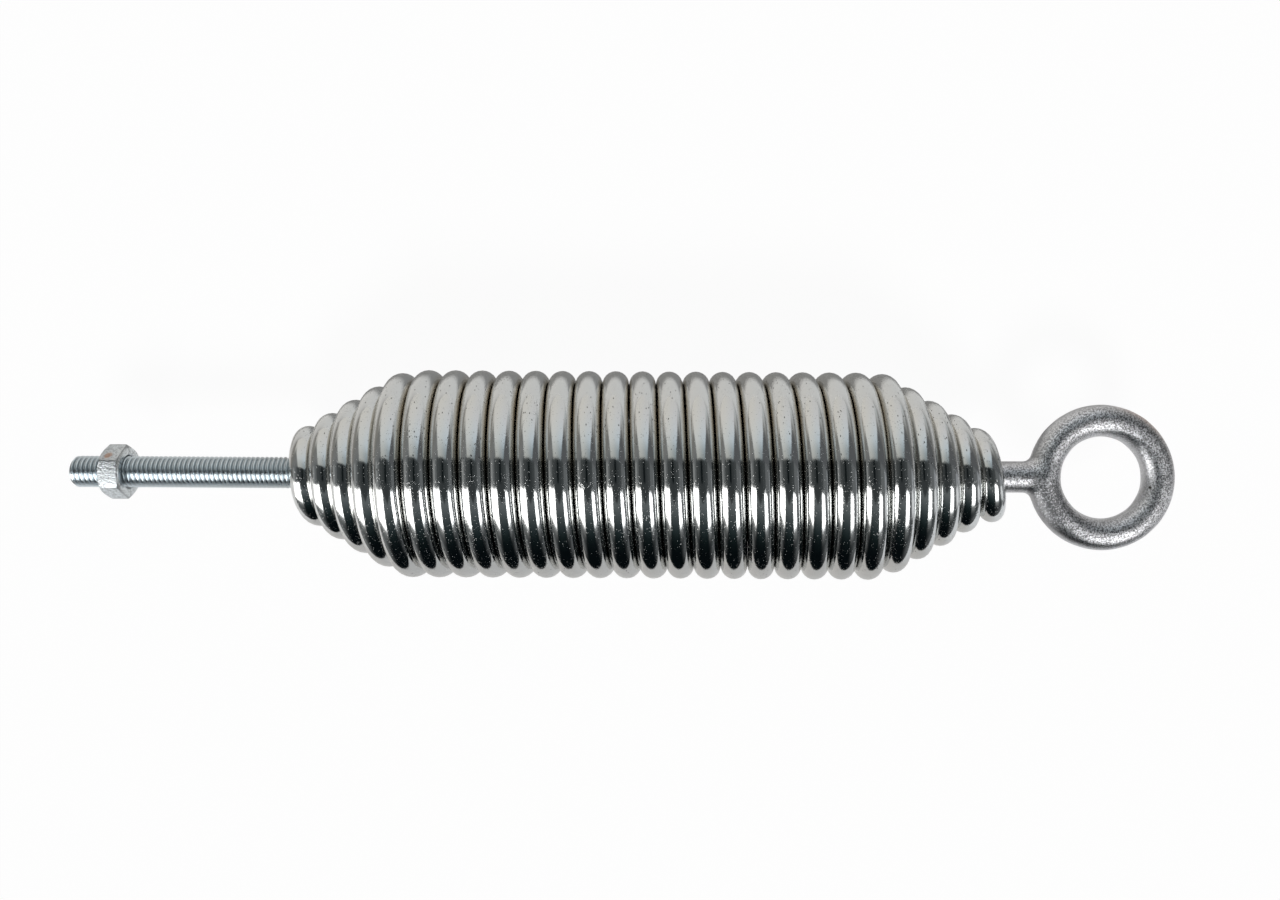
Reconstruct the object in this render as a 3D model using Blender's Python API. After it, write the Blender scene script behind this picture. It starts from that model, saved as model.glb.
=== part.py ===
"""Tailgate spring: a close-wound tension spring with drawn-in ends, a threaded bolt and nut at one
end and a swivelling eye at the other. Metres, +Z up. The spring's axis runs along +X towards the
eye, and the coils rest on the plane z = 0 with the middle of the whole length at x = 0."""

import math

import bmesh
import bpy

# Spring wire
BODY_LENGTH = 0.270
BODY_DIAMETER = 0.0785
WIRE_DIAMETER = 0.0099
END_BORE = 0.0150
COIL_GAP = 0.00015
TAPER_GAP = 0.0004
TAPER_ANGLE = math.radians(29.5)
END_COIL_TURNS = 0.25
TAPER_EASE_TURNS = 0.2
WIRE_START_ANGLE = math.radians(-101.25)
LAST_TURN_SHARE = 0.75
STEPS_PER_TURN = 16
WIRE_SIDES = 12

# Threaded bolt, drawn at its thread's outside diameter
BOLT_DIAMETER = 0.0119
BOLT_STICK_OUT = 0.081
BOLT_TIP_CHAMFER = 0.0012
HEAD_ACROSS_FLATS = 0.018
HEAD_HEIGHT = 0.0075
HEAD_CHAMFER = 0.0009

# Hexagon nut
NUT_ACROSS_FLATS = 0.018
NUT_THICKNESS = 0.008
NUT_CHAMFER = 0.0009
NUT_COUNTERSINK = 0.0008
NUT_TO_SPRING = 0.0605

# Eye forging
EYE_HOLE = 0.031
EYE_SECTION = 0.0122
EYE_CENTRE_TO_SPRING = 0.0385
EYE_SHANK_DIAMETER = 0.0120
EYE_FLARE_WIDTH = 0.019
EYE_FLARE_LENGTH = 0.009
UPSET_HEAD_DIAMETER = 0.0210
UPSET_CONE_LENGTH = 0.0055
UPSET_RIM_LENGTH = 0.0035
UPSET_BACK_CHAMFER = 0.0012

# Fits between the pieces
THREAD_CLEARANCE = 0.00025
SEAT_CLEARANCE = 0.0003
CUT_OVERRUN = 0.002

# Fineness of the round forms
ROUND_SIDES = 32
EYE_RING_STEPS = 44
EYE_SECTION_SIDES = 16
FLARE_STEPS = 5
SEAT_SAMPLES_PER_TURN = 64
SEAT_HALVINGS = 40
SHARP_ANGLE = math.radians(35)

# Standard angles of a hexagon and of its corner chamfer
HALF_FACE_ANGLE = math.radians(30)
CHAMFER_SLOPE = math.radians(30)

WIRE_RADIUS = WIRE_DIAMETER / 2
FULL_COIL_RADIUS = BODY_DIAMETER / 2 - WIRE_RADIUS
END_COIL_RADIUS = END_BORE / 2 + WIRE_RADIUS
AXIS_HEIGHT = BODY_DIAMETER / 2

TAPER_STEP = (WIRE_DIAMETER + TAPER_GAP) * math.sin(TAPER_ANGLE)
TAPER_PITCH = (WIRE_DIAMETER + TAPER_GAP) * math.cos(TAPER_ANGLE)
TAPER_TURNS = (FULL_COIL_RADIUS - END_COIL_RADIUS) / TAPER_STEP
STRAIGHT_LENGTH = BODY_LENGTH - WIRE_DIAMETER - 2 * TAPER_TURNS * TAPER_PITCH
TURNS = LAST_TURN_SHARE + math.floor(
    STRAIGHT_LENGTH / (WIRE_DIAMETER + COIL_GAP) + 2 * TAPER_TURNS - LAST_TURN_SHARE
)
BODY_PITCH = STRAIGHT_LENGTH / (TURNS - 2 * TAPER_TURNS)

EYE_RING_RADIUS = (EYE_HOLE + EYE_SECTION) / 2
EYE_REACH = EYE_CENTRE_TO_SPRING + EYE_HOLE / 2 + EYE_SECTION
OVERALL_LENGTH = BOLT_STICK_OUT + BODY_LENGTH + EYE_REACH
SPRING_LEFT = BOLT_STICK_OUT - OVERALL_LENGTH / 2
SPRING_RIGHT = SPRING_LEFT + BODY_LENGTH


def clear_scene():
    for obj in list(bpy.data.objects):
        bpy.data.objects.remove(obj, do_unlink=True)


def metal(name, colour, roughness):
    """A bare or plated metal with the given base colour."""
    material = bpy.data.materials.new(name)
    material.use_nodes = True
    shader = material.node_tree.nodes["Principled BSDF"]
    shader.inputs["Base Color"].default_value = (*colour, 1.0)
    shader.inputs["Roughness"].default_value = roughness
    shader.inputs["Metallic"].default_value = 1.0
    return material


def spring_axis():
    """The line that every piece is set on, at the height of the resting coils' centre."""
    axis = bpy.data.objects.new("spring_axis", None)
    axis.location = (0.0, 0.0, AXIS_HEIGHT)
    bpy.context.scene.collection.objects.link(axis)
    return axis


def add_object(name, form, axis, x, material=None):
    """Turns a bmesh into an object on the spring's axis. One with no material is a cutter."""
    bmesh.ops.recalc_face_normals(form, faces=form.faces)
    mesh = bpy.data.meshes.new(name)
    form.to_mesh(mesh)
    form.free()
    obj = bpy.data.objects.new(name, mesh)
    bpy.context.scene.collection.objects.link(obj)
    obj.parent = axis
    obj.location = (x, 0.0, 0.0)
    if material:
        mesh.materials.append(material)
        mesh.shade_smooth()
        mesh.set_sharp_from_angle(angle=SHARP_ANGLE)
    else:
        obj.hide_render = True
        obj.display_type = "WIRE"
    return obj


def cut(obj, tool, operation):
    modifier = obj.modifiers.new(tool.name, "BOOLEAN")
    modifier.operation = operation
    modifier.solver = "EXACT"
    modifier.object = tool


def skin_rings(form, rings, closed=False):
    """Joins rings of equal count into a tube, capped at both ends unless it closes on itself."""
    count = len(rings)
    for i in range(count if closed else count - 1):
        near, far = rings[i], rings[(i + 1) % count]
        for j in range(len(near)):
            k = (j + 1) % len(near)
            form.faces.new((near[j], near[k], far[k], far[j]))
    if not closed:
        form.faces.new(rings[0])
        form.faces.new(rings[-1])


def turned(profile, sides=ROUND_SIDES):
    """A solid turned about X from (x, width radius, height radius) steps."""
    form = bmesh.new()
    angles = [2 * math.pi * (j + 0.5) / sides for j in range(sides)]
    rings = [
        [form.verts.new((x, ry * math.cos(a), rz * math.sin(a))) for a in angles]
        for x, ry, rz in profile
    ]
    skin_rings(form, rings)
    return form


def round_steps(profile):
    """Round (x, radius) steps as the equal width and height radii that turned() takes."""
    return [(x, r, r) for x, r in profile]


def corner_radius(across_flats):
    """From the middle of a hexagon to its corners."""
    return across_flats / 2 / math.cos(HALF_FACE_ANGLE)


def hexagon(across_flats, length):
    """A hexagonal bar along X from zero, with flats facing up and down."""
    corner = corner_radius(across_flats)
    form = bmesh.new()
    rings = [
        [
            form.verts.new((x, corner * math.cos(a), corner * math.sin(a)))
            for a in (2 * HALF_FACE_ANGLE * j for j in range(6))
        ]
        for x in (0.0, length)
    ]
    skin_rings(form, rings)
    return form


def taper_share(turns_in):
    """Turns of taper used up at this many turns from a wire end, eased in and out."""

    def ramp(turns):
        if turns <= -TAPER_EASE_TURNS:
            return 0.0
        if turns >= TAPER_EASE_TURNS:
            return turns
        return (turns + TAPER_EASE_TURNS) ** 2 / (4 * TAPER_EASE_TURNS)

    past_end_coil = turns_in - END_COIL_TURNS
    return ramp(past_end_coil) - ramp(past_end_coil - TAPER_TURNS)


def coil_radius(turn):
    """Radius of the wire's centre line at a place along the wire, counted in turns."""
    untapered = 2 * TAPER_TURNS - taper_share(turn) - taper_share(TURNS - turn)
    return FULL_COIL_RADIUS - TAPER_STEP * untapered


def coil_advance(turn):
    """How far along the axis the wire's centre line has come since its first end."""
    tapered = taper_share(turn) + TAPER_TURNS - taper_share(TURNS - turn)
    return BODY_PITCH * turn + (TAPER_PITCH - BODY_PITCH) * tapered


def make_coil_spring(axis):
    """One wire, wound right-handed. The facets circumscribe it, so it rests on flats."""
    form = bmesh.new()
    corner = WIRE_RADIUS / math.cos(math.pi / WIRE_SIDES)
    spread = 1 / math.cos(math.pi / STEPS_PER_TURN)
    rings = []
    for step in range(round(TURNS * STEPS_PER_TURN) + 1):
        turn = step / STEPS_PER_TURN
        angle = WIRE_START_ANGLE + 2 * math.pi * turn
        centre = WIRE_RADIUS + coil_advance(turn)
        ring = []
        for side in range(WIRE_SIDES):
            lean = 2 * math.pi * (side + 0.5) / WIRE_SIDES
            out = (coil_radius(turn) + corner * math.sin(lean)) * spread
            x = centre + corner * math.cos(lean)
            ring.append(form.verts.new((x, out * math.cos(angle), out * math.sin(angle))))
        rings.append(ring)
    skin_rings(form, rings)
    return add_object(
        "coil_spring", form, axis, SPRING_LEFT, metal("bright_zinc", (0.66, 0.66, 0.64), 0.14)
    )


def gap_to_segment(px, pr, start, end):
    """Distance from a point to a straight stretch of a turned outline."""
    dx, dr = end[0] - start[0], end[1] - start[1]
    along = ((px - start[0]) * dx + (pr - start[1]) * dr) / (dx * dx + dr * dr)
    along = min(1.0, max(0.0, along))
    return math.hypot(px - start[0] - along * dx, pr - start[1] - along * dr)


def seat_depth(outline):
    """How deep inside an end coil a head comes to bear on the wire, leaving the seat clearance.

    The outline is (depth, radius) points from the head's bearing side, and both ends of the
    spring taper alike, so one wire end stands for both."""
    reach = WIRE_RADIUS / math.cos(math.pi / WIRE_SIDES) + SEAT_CLEARANCE
    count = round((END_COIL_TURNS + TAPER_TURNS) * SEAT_SAMPLES_PER_TURN)
    turns = [i / SEAT_SAMPLES_PER_TURN for i in range(count)]
    wire = [(WIRE_RADIUS + coil_advance(t), coil_radius(t)) for t in turns]

    def clears(depth):
        return all(
            gap_to_segment(x - depth, r, outline[i], outline[i + 1]) >= reach
            for x, r in wire
            for i in range(len(outline) - 1)
        )

    shallow, deep = 0.0, wire[-1][0]
    for _ in range(SEAT_HALVINGS):
        middle = (shallow + deep) / 2
        if clears(middle):
            deep = middle
        else:
            shallow = middle
    return deep


def chamfered_blank(across_flats, length, near_chamfer, far_chamfer):
    """The turned blank that takes the corners off a hexagon."""
    corner = corner_radius(across_flats)
    rise = math.tan(CHAMFER_SLOPE)
    edge = corner + CUT_OVERRUN
    profile = []
    for x, chamfer, side in ((0.0, near_chamfer, 1), (length, far_chamfer, -1)):
        if chamfer:
            face = (x, corner - chamfer / rise)
            rim = (x + side * (chamfer + CUT_OVERRUN * rise), edge)
            profile += [face, rim][::side]
        else:
            profile.append((x - side * CUT_OVERRUN, edge))
    return turned(round_steps(profile), 2 * ROUND_SIDES)


def make_threaded_bolt(axis):
    """Hexagon bolt pulled back against the inside of the left end coil."""
    corner = corner_radius(HEAD_ACROSS_FLATS)
    radius = BOLT_DIAMETER / 2
    depth = seat_depth([(0.0, radius), (0.0, corner), (HEAD_HEIGHT, corner)])
    under_head = SPRING_LEFT + depth
    tip = -BOLT_STICK_OUT - depth
    material = metal("blue_zinc", (0.55, 0.60, 0.65), 0.24)
    bolt = add_object(
        "threaded_bolt", hexagon(HEAD_ACROSS_FLATS, HEAD_HEIGHT), axis, under_head, material
    )
    blank = chamfered_blank(HEAD_ACROSS_FLATS, HEAD_HEIGHT, 0.0, HEAD_CHAMFER)
    cut(bolt, add_object("head_blank", blank, axis, under_head), "INTERSECT")
    profile = [
        (tip, radius - BOLT_TIP_CHAMFER),
        (tip + BOLT_TIP_CHAMFER, radius),
        (HEAD_HEIGHT / 2, radius),
    ]
    shank = add_object("bolt_shank", turned(round_steps(profile)), axis, under_head)
    cut(bolt, shank, "UNION")
    return bolt


def make_hex_nut(axis):
    """Nut run partly along the bolt, with its bearing face towards the spring."""
    left_face = SPRING_LEFT - NUT_TO_SPRING - NUT_THICKNESS
    bore = BOLT_DIAMETER / 2 + THREAD_CLEARANCE
    nut = add_object(
        "hex_nut",
        hexagon(NUT_ACROSS_FLATS, NUT_THICKNESS),
        axis,
        left_face,
        metal("grey_zinc", (0.64, 0.65, 0.66), 0.36),
    )
    blank = chamfered_blank(NUT_ACROSS_FLATS, NUT_THICKNESS, NUT_CHAMFER, NUT_CHAMFER)
    cut(nut, add_object("nut_blank", blank, axis, left_face), "INTERSECT")
    mouth = bore + NUT_COUNTERSINK
    drill = [
        (-CUT_OVERRUN, mouth + CUT_OVERRUN),
        (NUT_COUNTERSINK, bore),
        (NUT_THICKNESS - NUT_COUNTERSINK, bore),
        (NUT_THICKNESS + CUT_OVERRUN, mouth + CUT_OVERRUN),
    ]
    cut(nut, add_object("nut_bore", turned(round_steps(drill)), axis, left_face), "DIFFERENCE")
    return nut


def eye_ring():
    """The eye's ring, lying flat, with its centre at zero."""
    form = bmesh.new()
    rings = []
    for step in range(EYE_RING_STEPS):
        angle = 2 * math.pi * (step + 0.5) / EYE_RING_STEPS
        ring = []
        for side in range(EYE_SECTION_SIDES):
            lean = 2 * math.pi * side / EYE_SECTION_SIDES
            out = EYE_RING_RADIUS + EYE_SECTION / 2 * math.cos(lean)
            z = EYE_SECTION / 2 * math.sin(lean)
            ring.append(form.verts.new((out * math.cos(angle), out * math.sin(angle), z)))
        rings.append(ring)
    skin_rings(form, rings, closed=True)
    return form


def make_eye_bolt(axis):
    """Ring and shank forged in one, with an upset head that the right end coil holds."""
    shank = EYE_SHANK_DIAMETER / 2
    rim = UPSET_HEAD_DIAMETER / 2
    outline = [(0.0, shank), (UPSET_CONE_LENGTH, rim), (UPSET_CONE_LENGTH + UPSET_RIM_LENGTH, rim)]
    cone_start = -EYE_CENTRE_TO_SPRING - seat_depth(outline)
    rim_start = cone_start - UPSET_CONE_LENGTH
    back = rim_start - UPSET_RIM_LENGTH
    profile = round_steps(
        [
            (back, rim - UPSET_BACK_CHAMFER),
            (back + UPSET_BACK_CHAMFER, rim),
            (rim_start, rim),
            (cone_start, shank),
        ]
    )
    flare_end = -EYE_RING_RADIUS
    for step in range(FLARE_STEPS + 1):
        share = step / FLARE_STEPS
        width = shank + (EYE_FLARE_WIDTH / 2 - shank) * share**2
        x = flare_end - EYE_FLARE_LENGTH * (1 - share)
        profile.append((x, width, shank))
    centre = SPRING_RIGHT + EYE_CENTRE_TO_SPRING
    eye = add_object(
        "eye_bolt", eye_ring(), axis, centre, metal("forged_zinc", (0.60, 0.60, 0.61), 0.42)
    )
    cut(eye, add_object("eye_shank", turned(profile), axis, centre), "UNION")
    return eye


def main():
    clear_scene()
    axis = spring_axis()
    make_coil_spring(axis)
    make_threaded_bolt(axis)
    make_hex_nut(axis)
    make_eye_bolt(axis)


main()
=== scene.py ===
"""Looks of a tailgate spring: bright plated wire wound close and drawn in at both ends, a threaded
bolt with its nut at one end, and a forged eye at the other.

Metres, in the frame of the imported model: the spring's axis runs along +X towards the eye, the
coils rest on z = 0, and the camera looks straight down on them."""

import math

import bmesh
import bpy
import numpy as np
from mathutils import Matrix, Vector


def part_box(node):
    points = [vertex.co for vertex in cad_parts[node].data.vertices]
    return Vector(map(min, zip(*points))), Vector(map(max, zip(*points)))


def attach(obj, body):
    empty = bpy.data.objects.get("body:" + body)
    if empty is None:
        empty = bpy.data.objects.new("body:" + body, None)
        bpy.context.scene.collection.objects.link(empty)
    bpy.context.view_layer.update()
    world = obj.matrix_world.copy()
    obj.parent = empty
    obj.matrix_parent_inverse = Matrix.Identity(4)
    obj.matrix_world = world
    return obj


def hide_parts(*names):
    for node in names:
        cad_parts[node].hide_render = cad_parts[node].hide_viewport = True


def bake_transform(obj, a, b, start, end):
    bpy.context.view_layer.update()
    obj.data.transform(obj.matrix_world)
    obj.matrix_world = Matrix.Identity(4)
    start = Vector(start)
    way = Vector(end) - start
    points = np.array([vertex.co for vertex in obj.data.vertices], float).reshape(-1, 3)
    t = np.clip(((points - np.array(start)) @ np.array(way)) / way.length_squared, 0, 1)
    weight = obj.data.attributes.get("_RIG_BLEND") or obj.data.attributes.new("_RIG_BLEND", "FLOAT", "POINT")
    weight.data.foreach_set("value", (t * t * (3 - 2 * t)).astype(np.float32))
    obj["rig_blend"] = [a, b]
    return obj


bl_info = {
    "name": "Tailgate spring",
    "version": (1, 0, 0),
    "blender": (4, 5, 0),
    "location": "3D View > Sidebar > Spring",
    "description": "Wire, thread, nut, eye and studio for a tailgate spring",
    "category": "Object",
}

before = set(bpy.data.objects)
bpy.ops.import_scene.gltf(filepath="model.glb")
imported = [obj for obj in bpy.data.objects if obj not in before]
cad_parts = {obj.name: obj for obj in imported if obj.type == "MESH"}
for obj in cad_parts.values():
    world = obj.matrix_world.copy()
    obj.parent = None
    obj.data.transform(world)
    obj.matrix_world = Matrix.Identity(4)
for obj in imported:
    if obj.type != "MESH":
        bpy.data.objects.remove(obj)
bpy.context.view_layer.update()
SPRING_LOW, SPRING_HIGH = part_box("coil_spring")
BOLT_LOW, BOLT_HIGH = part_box("threaded_bolt")
NUT_LOW, NUT_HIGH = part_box("hex_nut")
EYE_LOW, EYE_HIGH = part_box("eye_bolt")
AXIS_HEIGHT = (SPRING_LOW.z + SPRING_HIGH.z) / 2

MERGE = 1e-6
SHARP_ANGLE = math.radians(32)
BOLT_SHARP_ANGLE = math.radians(50)
WORN_EDGE_ANGLE = math.radians(25)
HEX_SIDE_ANGLE = math.radians(60)
PICTURE_WIDTH = 1280
SENSOR_WIDTH = 36.0

# The thread's form, along one pitch: rows of points, half the crest's flat, and one flank.
THREAD_ROWS = 16
CREST_SHARE = 1 / 16
FLANK_SHARE = 5 / 16

# Of the end gap, how much stands between the first coil and the next.
FIRST_GAP_SHARE = 0.4

# Marked places on the metal: the centre, and the reach along each axis.
WIRE_SHOULDER = ((0.112, 0.018, SPRING_HIGH.z - 0.012), (0.020, 0.022, 0.022))
WIRE_RUBBED = ((-0.072, 0.026, SPRING_HIGH.z - 0.010), (0.020, 0.012, 0.022))
NUT_STAIN = ((NUT_LOW.x + 0.0038, 0.0062, AXIS_HEIGHT + 0.0067), (0.0013, 0.0012, 0.0030))
EYE_SCALE = ((0.1600, -0.0115, AXIS_HEIGHT + 0.004), (0.0055, 0.0095, 0.0070))
EYE_PIT = ((0.1978, -0.0036, AXIS_HEIGHT + 0.0045), (0.0005, 0.0005, 0.0012))
EYE_BLUSH = ((0.1960, 0.0205, AXIS_HEIGHT), (0.0110, 0.0075, 0.0080))

# The sheet's own white, and what metal sees of the sheet: at its middle, and to its sides.
SHEET_WHITE = (0.93, 0.93, 0.93)
# Painted shade: what metal sees of the sheet is darker in front of the spring's middle and behind it towards
# the sides.
SHEET_BEHIND = ((0.91, 0.90, 0.88), (0.43, 0.42, 0.41))
SHEET_BEFORE = ((0.69, 0.68, 0.67), (0.97, 0.98, 0.99))

# The room that metal sees, in degrees. Windows run from lean to lean, with a soft edge. Their
# feet and tops, and the ceiling's front, are (tilt, softness).
SOFT_EDGE = 4.0
LEFT_WINDOW = (-66.0, -28.0)
LEFT_FOOT = (-60.0, 7.0)
RIGHT_WINDOW = (29.5, 49.0)
RIGHT_FOOT = (-57.0, 7.0)
RIGHT_TOP = (-13.8, 3.0)
OUTER_WINDOWS = (66.0, 81.0)
OUTER_FOOT = (-60.0, 6.0)
OUTER_SHARE = 0.42
DUSK_FOOT = (-72.0, 10.0)
DUSK_SHARE = 0.15
WINDOW_TOP = (-14.0, 3.5)
WINDOW_GLOW = 4.6
CEILING_FRONT = (-11.5, 1.5)
WALL_START = 17.0

# Its tones. Steps are (tilt, colour), but (lean, colour) in CEILING_RIGHT. CEILING has its
# middle and its sides, CEILING_LEFT a plain tone and a strip.
BLACK = (0.0, 0.0, 0.0)
WHITE = (1.0, 1.0, 1.0)
WARM_WALL = (0.80, 0.77, 0.70)
DARK_CORNER = (0.11, 0.105, 0.095)
CEILING = ((0.044, 0.050, 0.052), (0.062, 0.069, 0.071))
CEILING_CORE = (0.005, 0.008, 0.009)
CEILING_RIGHT = ((40.0, (0.155, 0.163, 0.166)), (69.0, (0.36, 0.37, 0.385)))
CEILING_LEFT = ((0.15, 0.16, 0.165), (0.31, 0.325, 0.33))
CEILING_LEFT_END = (0.11, 0.11, 0.105)
WALL_TONES = (
    (17, (0.27, 0.32, 0.345)),
    (25, (0.34, 0.405, 0.44)),
    (37, (0.61, 0.69, 0.75)),
    (50, (0.70, 0.74, 0.77)),
    (65, (0.73, 0.73, 0.74)),
    (82, (0.72, 0.71, 0.70)),
)
LEFT_SIDE_TONES = (
    (17, (0.17, 0.18, 0.185)),
    (30, (0.22, 0.225, 0.225)),
    (52, (0.21, 0.21, 0.20)),
    (60, (0.38, 0.38, 0.36)),
    (70, (0.64, 0.63, 0.60)),
    (84, (0.66, 0.64, 0.60)),
)
RIGHT_SIDE_TONES = (
    (17, (0.11, 0.115, 0.12)),
    (36, (0.12, 0.123, 0.127)),
    (44, (0.115, 0.118, 0.12)),
    (52, (0.15, 0.15, 0.15)),
    (60, (0.25, 0.25, 0.24)),
    (70, (0.46, 0.46, 0.45)),
    (84, (0.58, 0.60, 0.60)),
)
FRONT_TONES = (
    (-88, (0.0022, 0.0040, 0.0050)),
    (-74, (0.0045, 0.0080, 0.0090)),
    (-66, (0.008, 0.0140, 0.0150)),
    (-58, (0.019, 0.029, 0.031)),
    (-51, (0.036, 0.047, 0.050)),
    (-45, (0.058, 0.072, 0.075)),
    (-36, (0.100, 0.115, 0.120)),
    (-28, (0.140, 0.155, 0.160)),
    (-20, (0.105, 0.118, 0.122)),
    (-13, (0.070, 0.080, 0.083)),
)
FAR_TONES = (
    (-112, (0.19, 0.197, 0.20)),
    (-99, (0.22, 0.23, 0.235)),
    (-88, (0.105, 0.115, 0.118)),
    (-76, (0.11, 0.12, 0.123)),
    (-66, (0.15, 0.162, 0.166)),
    (-56, (0.25, 0.26, 0.265)),
)

SOCKET_TYPES = {
    int: "NodeSocketInt",
    float: "NodeSocketFloat",
    bpy.types.Material: "NodeSocketMaterial",
}


def number_prop(name, description, default, **more):
    return bpy.props.FloatProperty(name=name, description=description, default=default, **more)


def length_prop(name, description, default):
    return number_prop(name, description, default, unit="LENGTH")


def angle_prop(name, description, default):
    return number_prop(name, description, default, unit="ROTATION")


def count_prop(name, description, default, least):
    return bpy.props.IntProperty(name=name, description=description, default=default, min=least)


def colour_prop(name, description, default):
    return bpy.props.FloatVectorProperty(
        name=name, description=description, default=default, subtype="COLOR"
    )


class WireSizes(bpy.types.PropertyGroup):
    wire_diameter: length_prop("Wire", "Diameter of the round wire", 0.01004)
    end_bore: length_prop("End bore", "Clear bore of both end coils", 0.0150)
    coil_gap: length_prop("Coil gap", "Least gap between full coils", 0.00001)
    taper_gap: length_prop("Taper gap", "Gap between drawn-in coils", 0.00026)
    taper_angle: angle_prop("Taper", "Slope of the tapers", math.radians(29.5))
    start_angle: angle_prop("Start", "Where the wire begins round the axis", math.radians(-101.25))
    end_coil_turns: number_prop("End coil", "Turns at the end bore before the taper", 0.25)
    ease_turns: number_prop("Ease", "Turns over which a taper sets in", 0.2)
    last_turn_share: number_prop("Last turn", "Part of a turn past the whole turns", 0.75)
    held_turns: number_prop("Held turns", "Turns at each end that do not open", 1.2)
    end_gap: length_prop("End gap", "How far the last coil stands off", 0.0012)
    unevenness: length_prop("Unevenness", "How far coils fall short of round", 0.00012)
    cut_chamfer: length_prop("Cut edge", "Rounding of the sheared wire ends", 0.0005)
    steps_per_turn: count_prop("Steps", "Stations along one turn", 96, 16)
    sides: count_prop("Sides", "Facets round the wire", 24, 8)


class BoltSizes(bpy.types.PropertyGroup):
    pitch: length_prop("Pitch", "Pitch of the thread", 0.00175)
    thread_depth: length_prop("Thread depth", "Crest to root", 0.00098)
    diameter: length_prop("Diameter", "Across the thread's crests", 0.0119)
    tip_radius: length_prop("Tip", "Radius of the flat at the bolt's tip", 0.00475)
    across_flats: length_prop("Across flats", "Width of the head", 0.018)
    head_height: length_prop("Head height", "Height of the head", 0.0075)
    chamfer: length_prop("Chamfer", "Corner chamfer of the head", 0.0009)
    sides: count_prop("Sides", "Facets round", 48, 12)


class NutSizes(bpy.types.PropertyGroup):
    across_flats: length_prop("Across flats", "Width of the nut", 0.018)
    chamfer: length_prop("Chamfer", "Corner chamfer of the nut", 0.0009)
    countersink: length_prop("Countersink", "Radius past the thread", 0.0008)
    thread_play: length_prop("Play", "Radial play on the thread", 0.00008)
    edge_round: length_prop("Edge", "Rounding of worn edges", 0.0004)
    turn: angle_prop("Turn", "How far the nut's top flat leans to the front", math.radians(5.2))


class EyeSizes(bpy.types.PropertyGroup):
    section: length_prop("Section", "Thickness of the ring", 0.0122)
    hole: length_prop("Hole", "Width of the hole", 0.031)
    shank: length_prop("Shank", "Diameter of the shank", 0.0120)
    fillet: length_prop("Fillet", "Reach of the forged fillets", 0.0030)
    unevenness: length_prop("Unevenness", "Hollows left by the forging", 0.00014)
    head_diameter: length_prop("Head", "Diameter of the upset head", 0.0210)
    cone_length: length_prop("Cone", "Length of the head's cone", 0.0055)
    rim_length: length_prop("Rim", "Length of the head's rim", 0.0035)
    grid: length_prop("Grid", "Mesh size of the forging", 0.00055)


class FinishColours(bpy.types.PropertyGroup):
    wire: colour_prop("Wire", "Bright zinc on the wire", (0.665, 0.695, 0.71))
    # Painted reflection: a warmer tone laid on the left side of every wire section.
    wire_left_reflection: colour_prop("Wire, left", "The same zinc towards its left side", (0.71, 0.70, 0.67))
    # Painted shade: the darker straw-brown tint laid on the flanks between the coils.
    wire_flank_shade: colour_prop("Wire flanks", "Straw tint between the coils", (0.50, 0.455, 0.38))
    pit: colour_prop("Pits", "Dirt in pits and scratches", (0.07, 0.065, 0.06))
    bolt: colour_prop("Bolt", "Blue zinc on the bolt", (0.71, 0.78, 0.82))
    nut: colour_prop("Nut", "Zinc on the nut", (0.79, 0.83, 0.85))
    eye: colour_prop("Eye", "Zinc on the forging", (0.60, 0.60, 0.61))
    eye_grain: colour_prop("Eye grains", "Pale grains of the forging", (0.93, 0.93, 0.96))
    rust: colour_prop("Rust", "Rust stain", (0.50, 0.24, 0.12))


class StudioSettings(bpy.types.PropertyGroup):
    camera_height: length_prop("Height", "Camera above the spring's axis", 0.4336)
    camera_x: length_prop("Along", "Camera's place along the spring", 0.02505)
    camera_y: length_prop("Across", "Camera's place across the spring", 0.0095)
    roll: angle_prop("Roll", "Roll of the camera", 0.006)
    focal_pixels: number_prop("Focal", "Focal length in pixels, 1280 to the width", 1141.0)
    centre_pixels: number_prop("Centre", "Pixel column that the lens points at", 691.0)
    sheet_front: length_prop("Sheet front", "Where the white sheet ends in front", -0.190)
    lit_front: length_prop("Lit front", "Where metal sees the sheet's lit part end", -0.117)
    sheet_back: length_prop("Sheet back", "Where the white sheet ends behind", 0.5)
    sheet_side: length_prop("Sheet side", "How far it reaches to each side", 1.5)
    room_radius: length_prop("Room", "Distance of the lights and dark screens", 0.6)
    sun: number_prop("Sun", "Strength of the soft sun on the sheet", 2.2)
    sun_width: angle_prop("Sun width", "How wide the soft sun is", math.radians(16))
    sun_tilt: angle_prop("Sun tilt", "How far the sun leans to the front", math.radians(44))
    sun_turn: angle_prop("Sun turn", "How far the sun turns to the right", math.radians(6))
    fill: number_prop("Fill", "Strength of the white world as a light", 0.28)


SETTINGS = {
    "spring_wire": WireSizes,
    "spring_bolt": BoltSizes,
    "spring_nut": NutSizes,
    "spring_eye": EyeSizes,
    "spring_colours": FinishColours,
    "spring_studio": StudioSettings,
}


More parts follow.
